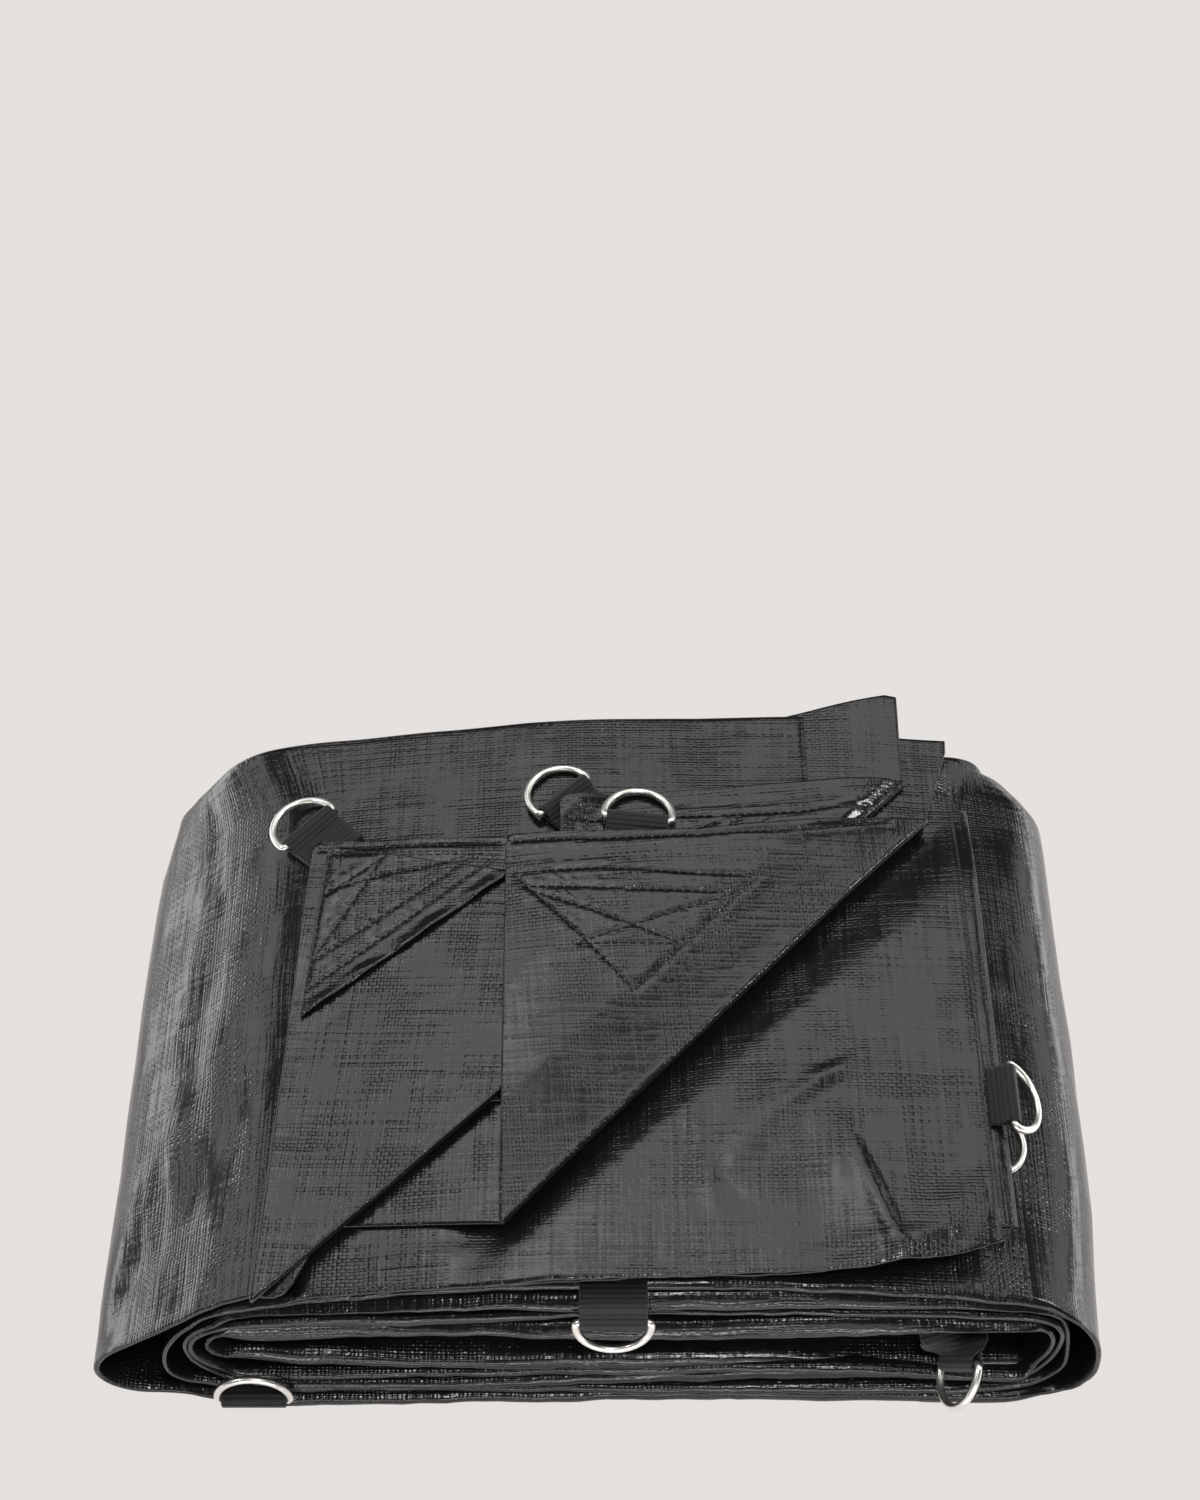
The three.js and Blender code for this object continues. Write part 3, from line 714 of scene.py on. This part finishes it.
def cloth_material():
    """Coated woven tape cloth. The attribute flat holds the place on the flat cloth in millimetres."""
    material, tree, shader = nodes_of("coated_weave")
    g = Graph(tree)
    place = g.flat_place()
    wander = g.times(g.math("SUBTRACT", g.noise(place, 0.09), 0.5), 1.6)
    along, across = g.split(place)
    su = g.math("SINE", g.times(g.sum(along, wander), math.pi / WARP))
    sv = g.math("SINE", g.times(g.sum(across, wander), math.pi / WEFT))
    rib = g.math("POWER", g.math("ABSOLUTE", su), 0.6)
    row = g.math("POWER", g.math("ABSOLUTE", sv), 0.6)
    weave = g.sum(g.times(g.times(su, sv), 0.16), g.times(rib, 0.42), g.times(row, 0.42))
    # Tapes differ in tightness, so streaks in both directions and soft patches show the weave more or less.
    streak_u = g.noise(g.scaled(place, 0.5, 0.02), 1.0, 1)
    streak_v = g.noise(g.scaled(place, 0.02, 0.5), 1.0, 1)
    patch = g.noise(place, 0.035)
    show = g.sum(g.times(streak_u, 0.6), g.times(streak_v, 0.5), patch)
    relief = g.times(weave, g.range(show, 0.88, 1.34, 0.2, 2.3))
    waves = g.noise(g.scaled(place, 0.10, 0.07), 1.0, 3)
    grain = g.noise(g.scaled(place, 0.8, 0.8), 1.0)
    coarse = g.bump(waves, 0.0004)
    fine = g.bump(g.sum(relief, g.times(grain, 0.3)), 0.00011, under=coarse)
    tone = g.range(g.sum(g.times(weave, 0.3), patch), 0.3, 1.1, 0.0, 1.0)
    rough = g.range(g.sum(streak_u, g.times(grain, 0.5)), 0.4, 1.1, 0.13, 0.22)
    g.feed(shader, "Normal", fine)
    g.feed(shader, "Base Color", g.blend(tone, (0.0060, 0.0066, 0.0060), (0.0100, 0.0107, 0.0096)))
    g.feed(shader, "Roughness", rough)
    g.feed(shader, "IOR", 1.52)
    return material


# How often the webbing's ribs and the cords within them come.
RIB_PITCH = 2.1
CORD_PITCH = 0.62


def webbing_material():
    """Woven polypropylene webbing. flat holds the place along and across the strip."""
    material, tree, shader = nodes_of("ribbed_webbing")
    g = Graph(tree)
    place = g.flat_place()
    along, across = g.split(place)
    rib = g.math("ABSOLUTE", g.math("SINE", g.times(along, math.pi / RIB_PITCH)))
    shifted = g.sum(g.times(across, math.pi / CORD_PITCH), g.times(along, math.pi / RIB_PITCH))
    cord = g.math("ABSOLUTE", g.math("SINE", shifted))
    height = g.sum(rib, g.times(cord, 0.5))
    fuzz = g.noise(place, 2.4, 3)
    tone = g.range(g.times(height, fuzz), 0.1, 0.9, 0.0, 1.0)
    g.feed(shader, "Normal", g.bump(g.sum(height, g.times(fuzz, 0.35)), 0.00030))
    g.feed(shader, "Base Color", g.blend(tone, (0.004, 0.004, 0.004), (0.022, 0.022, 0.021)))
    g.feed(shader, "Roughness", 0.62)
    g.feed(shader, "Specular IOR Level", 0.35)
    g.feed(shader, "Sheen Weight", 0.12)
    return material


def steel_material():
    """Bright nickel plate with faint wear; its warm brownish patches are painted reflections."""
    material, tree, shader = nodes_of("nickel_plate")
    g = Graph(tree)
    place = g.flat_place()
    wear_and_reflection = g.noise(place, 0.45, 4, 0.6)
    # Painted reflection: the warm brownish patches of the colour stand in for brownish reflections, and the
    # same noise also roughens the plate in places.
    tone = g.range(wear_and_reflection, 0.42, 0.7, 0.0, 1.0)
    g.feed(shader, "Base Color", g.blend(tone, (0.93, 0.92, 0.89), (0.80, 0.76, 0.68)))
    g.feed(shader, "Roughness", g.range(wear_and_reflection, 0.35, 0.75, 0.3, 0.42))
    g.feed(shader, "Normal", g.bump(g.noise(place, 1.3, 3), 0.00006, strength=0.25))
    g.feed(shader, "Metallic", 1.0)
    return material


def thread_material():
    """Black sewing thread. flat holds the length gone and the angle round the thread."""
    material, tree, shader = nodes_of("sewing_thread")
    g = Graph(tree)
    twist = g.noise(g.scaled(g.flat_place(), 4, 1.2), 1.0, 1)
    g.feed(shader, "Base Color", g.blend(twist, (0.003, 0.003, 0.003), (0.011, 0.011, 0.011)))
    g.feed(shader, "Roughness", 0.7)
    return material


CLOTH = cloth_material()
WEBBING = webbing_material()
STEEL = steel_material()
THREAD = thread_material()


# Sewing

# Lines of stitches on each turned-back corner and on the patch, as seen from above.
SEAMS = {
    "low": (
        ((-35.9, 44.4), (0, 46.2), (40.8, 44.3), (65.5, 45.4)),
        ((-32.5, 37.6), (12.2, 35.8), (56.9, 36.3)),
        ((-35.9, 44.4), (13.8, -10.7), (65.5, 45.4)),
        ((-28.4, 35.3), (32, 11.4)),
        ((54.9, 36.1), (-10, 9), (32, 11.4)),
        ((-36.3, 60.7), (0, 61), (41.2, 63.4), (82.9, 68.5), (121.6, 78.2)),
    ),
    "middle": (
        ((-12.5, 73.3), (2.5, 75.2)),
        ((-5, 75.2), (-5.4, 70)),
        ((33, 76.9), (50.1, 77.4), (83.6, 79.6), (112.7, 85)),
        ((39.5, 70.1), (51.7, 75.8)),
        ((50.7, 70.1), (58.9, 76.9)),
        ((64.1, 70.6), (71, 78)),
    ),
    "top": (
        ((-118.1, 67.3), (-39.9, 65.2)),
    ),
    "patch": (
        ((-112.6, 64.1), (-39.7, 60.5)),
        ((-112.6, 64.1), (-118, -1.9)),
        ((-118, -1.9), (-40.6, 60.1)),
        ((-117.3, 11.2), (-50.1, 60.2)),
        ((-112.9, 43.6), (-89.3, 61.3)),
        ((-113, 45.7), (-88.9, 51.9), (-72.8, 54.3), (-51.8, 59.8)),
        ((-91, 60.5), (-95.8, 49.9), (-106.7, 30.2), (-116.5, 12.1)),
    ),
}
STITCH = 2.9
STITCH_GAP = 0.7
STITCH_SUNK = 0.25
STITCH_ARCH = 0.22
# A stitch's thickness along its length, as shares of its length and half widths, and the sides it has.
STITCH_FORM = ((0, 0.1), (0.12, 0.26), (0.5, 0.3), (0.88, 0.26), (1, 0.1))
STITCH_SIDES = 6
GROOVE = dict(depth=0.38, width=0.9)
PUCKER = dict(rise=0.15, away=2.6, width=1.7, pitch=7.3)


def seam_distance(lines, x, y):
    """Distance from each place to the nearest seam, and the length gone along that seam."""
    best = np.full(np.shape(x), 1e9)
    gone = np.zeros(np.shape(x))
    for line in lines:
        start = 0.0
        for (x0, y0), (x1, y1) in zip(line, line[1:]):
            length = math.hypot(x1 - x0, y1 - y0)
            t = np.clip(((x - x0) * (x1 - x0) + (y - y0) * (y1 - y0)) / length**2, 0, 1)
            away = np.hypot(x - x0 - t * (x1 - x0), y - y0 - t * (y1 - y0))
            near = away < best
            best = np.where(near, away, best)
            gone = np.where(near, start + t * length, gone)
            start += length
    return best, gone


def puckered(lines, x, y):
    """The cloth is drawn down along a seam and rises in small puckers beside it."""
    away, gone = seam_distance(lines, x, y)
    groove = -GROOVE["depth"] * np.exp(-(away / GROOVE["width"]) ** 2)
    beat = 1 + 0.9 * np.sin(gone * 2 * math.pi / PUCKER["pitch"] + 3 * noise(x / 9, y / 9, 5))
    return groove + PUCKER["rise"] * np.exp(-((away - PUCKER["away"]) / PUCKER["width"]) ** 2) * beat


def stitches(name, lines, height, lift):
    """Short rods of thread laid along seams, at a lift above height(x, y), the cloth's middle surface."""
    points, faces, places = [], [], []
    ring = np.arange(STITCH_SIDES) * 2 * math.pi / STITCH_SIDES
    rings = len(STITCH_FORM)

    def rod(start, along, side, s):
        base = len(points)
        for f, size in STITCH_FORM:
            middle = start + along * (s + f * STITCH)
            z = float(height(middle[0], middle[1])) + lift + STITCH_ARCH * math.sin(math.pi * f)
            z += float(drop(middle[0], z))
            for t in ring:
                offset = side * size * math.cos(t)
                points.append((middle[0] + offset[0], middle[1] + offset[1], z + size * math.sin(t)))
                places.append((s + f * STITCH, t, base))
        for i in range(rings - 1):
            first = base + i * STITCH_SIDES
            for k in range(STITCH_SIDES):
                a, b = first + k, first + (k + 1) % STITCH_SIDES
                faces.append([a, b, b + STITCH_SIDES, a + STITCH_SIDES])
        last = base + (rings - 1) * STITCH_SIDES
        faces.append([base + k for k in range(STITCH_SIDES)][::-1])
        faces.append([last + k for k in range(STITCH_SIDES)])

    for line in lines:
        for start, end in zip(line, line[1:]):
            start, end = np.array(start), np.array(end)
            length = np.linalg.norm(end - start)
            along = (end - start) / length
            side = np.array([-along[1], along[0]])
            for s in np.arange(0.3, length - STITCH, STITCH + STITCH_GAP):
                rod(start, along, side, s)
    return make(name, points, faces, places, THREAD, "cloth", ["tarp"])


# Cloth pieces

def folded_piece(name, rows, step, surface, dent, depth, rests_on, **form):
    """A strip of folded plies along a smooth path, with the heights from which and above which it dents."""
    rows, lengths = spline(rows, step)
    points, faces, flat = ply_mesh(rows, lengths, surface, **form)
    piece = make(name, dented(points, *dent), faces, flat, CLOTH, "cloth", ["tarp"])


def loose_sheet(key, name, step, base_step, base_depth=None):
    """A sheet with its turned-back corner and the sewing on it."""
    spec, seams = LOOSE[key], SEAMS[key]

    def lift(x, y, kind):
        soft = 0.22 * noise(x / 27, y / 33, 31 + len(key)) + 0.03 * noise(x / 7, y / 8, 41 + len(key))
        tip = 5.5 * smooth(100, 146, y) * smooth(70, 128, x) * (1 - kind) if key == "middle" else 0
        return kind * (soft + np.where(kind > 0.9, puckered(seams, x, y), 0)) + tip

    grid, places = turned_grid(spec, step, base_step, base_depth, lift)
    piece = make(name, *sheet_mesh(grid, LOOSE_PLY, places), CLOTH, "cloth", ["tarp"])
    sewing = stitches(name + "_sewing", seams, lambda x, y: corner_height(spec, x, y),
                      LOOSE_PLY / 2 - STITCH_SUNK)


PATCH_CREASE = ((-119.4, -14), (-36, 50))
PATCH_CORNER = (-113.5, 67.5)
PATCH_PLY = 0.9
PATCH_LIFT = 1.6
PATCH_ROWS = 60
PATCH_COLUMNS = 96
# The free lip along the patch's long side stands up by this much, within this width.
LIP_RISE = 0.9
LIP_WIDTH = 6


def corner_patch():
    """The doubled patch on the top corner, with a loose uneven lip along its long side."""
    depths = np.linspace(0, deepest((PATCH_CORNER,), PATCH_CREASE) * CORNER_END, PATCH_ROWS)
    outline = slices((*PATCH_CREASE, PATCH_CORNER), PATCH_CREASE, depths, PATCH_COLUMNS)
    x, y = outline[..., 0], outline[..., 1]
    lip = 1 - smooth(0, LIP_WIDTH, depths)[:, None]
    h = corner_height(LOOSE["top"], x, y) + PATCH_LIFT + puckered(SEAMS["patch"], x, y)
    h = h + lip * (LIP_RISE + LIP_RISE * noise(x / 7, y / 7, 21))
    grid = np.stack([x, y, h + drop(x, h)], axis=2)
    sheet = sheet_mesh(grid, PATCH_PLY, np.stack([x, y, x * 0], axis=2))
    patch = make("corner_patch_cloth", *sheet, CLOTH, "cloth", ["corner_patch"])
    sewing = stitches("corner_patch_sewing", SEAMS["patch"], lambda x, y: corner_height(LOOSE["top"], x, y),
                      PATCH_LIFT + PATCH_PLY / 2 - STITCH_SUNK)


def cloth_pieces():
    folded_piece("roll", roll_rows(), 3.5, roll_surface, (55, 78), 0.27, [])
    folded_piece("stack", stack_rows(), 2.6, stack_surface, (0, 1), 0.24, ["roll"], depths=STACK_DEPTHS)
    loose_sheet("low", "lower_corner_sheet", 1.4, 4)
    loose_sheet("middle", "middle_corner_sheet", 1.4, 4)
    loose_sheet("top", "top_corner", 1.5, 2, base_depth=5.0)
    corner_patch()


# Rings and tabs

WIRE = 1.5
RING_R = 14.2
RING_LEG = 2
RING_FILLET = 2
WEB_W = 24.6
WEB_PLY = 1
WEB_GAP = 0.3
SLACK = 0.4
REST = 0.3
LOOP_R = WIRE + SLACK + WEB_PLY / 2
TAB_BOTTOM = -(LOOP_R + WEB_PLY / 2)
# Tabs that lie on a ply below this flat height lie on the roll.
ON_ROLL = 86

# Where each ring's bar is, the flat height its tab lies on or else its own height, and how both are turned.
PLACES = (
    dict(x=-123, y=80.5, on=102.73, heading=136, tip=4.6, roll=-4, swing=4, length=20),
    dict(x=-15, y=88, on=102.3, heading=135, tip=1, roll=0, swing=4, length=13),
    dict(x=15.6, y=72, on=107.4, heading=84, tip=0, roll=1.6, swing=8, length=17),
    dict(x=160.4, y=-49, on=93.6, heading=0, tip=3.4, roll=0, swing=40, length=20),
    dict(x=150, y=-62, on=85.7, heading=0, tip=10.5, roll=0, swing=3, length=20),
    dict(x=5, y=-138, z=76.7, heading=-90, tip=90, roll=0, swing=-11, length=30, bend=(6.6, 4.5, 90)),
    dict(x=-136, y=-138, z=8.6, heading=-90, tip=50, roll=0, swing=-144, length=20, bend=(2.5, 2.5, 50)),
    dict(x=138, y=-138, z=41, heading=-75, tip=30, roll=0, swing=-25, twist=75, level=-12, length=20),
)


def turn(axis, degrees):
    return np.array(Matrix.Rotation(math.radians(degrees), 3, axis))


def placed(place, points, ring=False):
    """Points of a ring or a tab, moved from the origin to their place on the bundle."""
    if ring:
        points = points @ (turn("X", place.get("twist", 0)) @ turn("Y", place["swing"])).T
    whole = turn("Z", place["heading"]) @ turn("Y", place["tip"]) @ turn("X", place["roll"])
    if "z" in place:
        z = place["z"]
    else:
        on = place["on"]
        z = on + float(drop(place["x"], ROLL_TOP if on < ON_ROLL else on)) + REST - TAB_BOTTOM
    return points @ whole.T + np.array([place["x"], place["y"], z])


def ring_points(sides=20):
    """A D-ring with its bar along Y through the origin and its arc towards +X."""
    flat_part = RING_R - RING_FILLET
    centre = [(0, y) for y in np.linspace(flat_part, -flat_part, 12)]

    def fillet(side, angles):
        for a in np.radians(angles):
            out = flat_part + RING_FILLET * abs(math.sin(a))
            centre.append((RING_FILLET + RING_FILLET * math.cos(a), side * out))

    fillet(-1, (165, 150, 135, 120, 105, 90))
    for a in np.radians(np.arange(-86, 87, 4.3)):
        centre.append((RING_LEG + RING_R * math.cos(a), RING_R * math.sin(a)))
    fillet(1, (90, 105, 120, 135, 150, 165))
    centre = np.array(centre)
    ahead = np.roll(centre, -1, axis=0) - np.roll(centre, 1, axis=0)
    ahead /= np.linalg.norm(ahead, axis=1)[:, None]
    outward = np.column_stack([ahead[:, 1], -ahead[:, 0]])
    t = np.arange(sides) / sides * 2 * math.pi
    xy = centre[:, None, :] + outward[:, None, :] * (WIRE * np.cos(t))[None, :, None]
    z = np.broadcast_to((WIRE * np.sin(t))[None, :, None], (len(centre), sides, 1))
    points = np.concatenate([xy, z], axis=2).reshape(-1, 3)
    count = len(centre)
    i, k = np.meshgrid(np.arange(count), np.arange(sides), indexing="ij")
    a = (i * sides + k).ravel()
    b = (i * sides + (k + 1) % sides).ravel()
    c = ((i + 1) % count * sides + (k + 1) % sides).ravel()
    d = ((i + 1) % count * sides + k).ravel()
    return points, np.column_stack([a, b, c, d]).tolist()


def tail_shape(points, place):
    """A tab's tail is twisted behind the ring, or bent over the cloth's edge, where its place says so."""
    start, radius, angle = place.get("bend", (0, 1, 0))
    most = math.radians(angle)
    twisted = np.radians(mix(place.get("twist", 0), place.get("level", 0), smooth(-3, -12, points[:, 0])))
    x = points[:, 0]
    y = points[:, 1] * np.cos(twisted) - points[:, 2] * np.sin(twisted)
    z = points[:, 1] * np.sin(twisted) + points[:, 2] * np.cos(twisted)
    if most == 0:
        return np.column_stack([x, y, z])
    past = -start - x
    turned = np.clip(past / radius, 0, most)
    rest = np.maximum(0, past - radius * most)
    arm = radius + z
    bent_x = -start - arm * np.sin(turned) - rest * np.cos(turned)
    bent_z = -radius + arm * np.cos(turned) - rest * np.sin(turned)
    return np.column_stack([np.where(past > 0, bent_x, x), y, np.where(past > 0, bent_z, z)])


def tab_grid(length):
    """A strip of webbing looped round the bar, both ends together, with its tail towards -X."""
    low, high = -LOOP_R, -LOOP_R + WEB_PLY + WEB_GAP
    steps = -6 - (length - 6) * np.linspace(1, 0, 14)
    path = [(x, low) for x in steps] + [(-4.5, low), (-3, low)]
    for a in np.radians(np.arange(-90, 121, 15)):
        path.append((LOOP_R * math.cos(a), LOOP_R * math.sin(a)))
    path += [(-2.6, 1.35), (-3.6, 0.4), (-4.8, -0.5)] + [(x, high) for x in steps[::-1]]
    path = np.array(path)
    places = np.concatenate([[0], np.cumsum(np.linalg.norm(np.diff(path, axis=0), axis=1))])
    across = np.linspace(-WEB_W / 2, WEB_W / 2, 17)
    grid = np.stack(np.broadcast_arrays(path[:, None, 0], across[None, :], path[:, None, 1]), axis=2)
    flat = np.stack(np.broadcast_arrays(places[:, None], across[None, :], 0.0), axis=2)
    return grid, flat


def rings_and_tabs():
    points, faces = ring_points()
    for number, place in enumerate(PLACES, 1):
        ring = placed(place, points, ring=True)
        make(f"ring_{number}_wire", ring, faces, points, STEEL, "steel", [f"ring_{number}"])
        grid, flat = tab_grid(place["length"])
        tail = placed(place, tail_shape(grid.reshape(-1, 3), place)).reshape(grid.shape)
        tab = sheet_mesh(tail, WEB_PLY, flat)
        make(f"tab_{number}_webbing", *tab, WEBBING, "webbing", [f"tab_{number}"])


# Floor, light and camera

FLOOR_REACH = 6


def floor():
    """A pale floor that shines a little, so that it looks even and casts light up under the bundle."""
    mesh = bpy.data.meshes.new("floor")
    r = FLOOR_REACH
    mesh.from_pydata([(-r, -r, 0), (r, -r, 0), (r, r, 0), (-r, r, 0)], [], [(0, 1, 2, 3)])
    material, _, shader = nodes_of("pale_floor")
    shader.inputs["Base Color"].default_value = (0.02, 0.0192, 0.0188, 1)
    shader.inputs["Roughness"].default_value = 1.0
    shader.inputs["Specular IOR Level"].default_value = 0.0
    shader.inputs["Emission Color"].default_value = (0.776, 0.745, 0.730, 1)
    shader.inputs["Emission Strength"].default_value = 0.985
    mesh.materials.append(material)
    piece = bpy.data.objects.new("floor", mesh)
    link(piece)


PANEL_AIM = (0, 0, 0.06)
# Bright panels: name, place, width, height and brightness. They face the bundle, apart from low ones, which
# lie on the floor beside it and shine up.
PANELS = (
    ("back", (0.0, 1.22, 2.1), 3.0, 1.25, 1.75),
    ("top", (0.2, 0.2, 2.4), 2.6, 0.8, 1.5),
    ("left", (-1.9, 0.9, 0.75), 1.4, 0.8, 1.5),
    ("right", (1.9, 0.9, 0.7), 1.3, 1.0, 1.3),
    ("floor_left", (-0.44, 0.1, 0.004), 0.3, 0.7, 2.4),
    ("floor_right", (0.44, 0.1, 0.004), 0.3, 0.7, 1.8),
    ("floor_front", (0.0, -0.34, 0.004), 0.9, 0.12, 2.2),
    ("front", (0.1, -1.9, 1.0), 1.8, 0.5, 1.2),
    ("front_low", (0.0, -1.9, 0.42), 2.2, 0.22, 9),
    ("spark_front", (0.15, -0.75, 2.0), 0.35, 0.35, 20),
    ("spark_left", (-1.5, -0.2, 1.5), 0.35, 0.35, 20),
    ("spark_right", (1.6, 0.1, 1.35), 0.35, 0.35, 20),
)
LOW_PANEL = 0.01


def panel(name, place, width, height, brightness):
    """A bright panel. Its energy comes from how bright it looks and its size."""
    light = bpy.data.lights.new(name, "AREA")
    light.shape = "RECTANGLE"
    light.size, light.size_y = width, height
    light.energy = brightness * math.pi * width * height
    lamp = bpy.data.objects.new(name, light)
    lamp.visible_camera = False
    if place[2] < LOW_PANEL:
        lamp.rotation_euler = (math.pi, 0, 0)
    else:
        lamp.rotation_euler = (Vector(PANEL_AIM) - Vector(place)).to_track_quat("-Z", "Y").to_euler()
    lamp.location = place
    link(lamp)


def studio():
    world = bpy.data.worlds.new("studio")
    world.use_nodes = True
    world.node_tree.nodes["Background"].inputs[0].default_value = (1, 1, 1, 1)
    world.node_tree.nodes["Background"].inputs[1].default_value = 0.07
    bpy.context.scene.world = world
    for row in PANELS:
        panel(*row)


CAMERA_PLACE = (0, -0.5533, 0.928)
CAMERA_DOWN = 51


def camera():
    """The photograph's view, from the front and above."""
    lens = bpy.data.cameras.new("camera")
    lens.lens = 59.52
    lens.sensor_width = 36
    lens.sensor_fit = "AUTO"
    lens.clip_start = 0.01
    eye = bpy.data.objects.new("camera", lens)
    eye.location = CAMERA_PLACE
    eye.rotation_euler = (math.radians(90 - CAMERA_DOWN), 0, 0)
    link(eye)
    bpy.context.scene.camera = eye


cloth_pieces()
rings_and_tabs()
floor()
studio()
camera()
bpy.context.scene.view_settings.view_transform = "Standard"
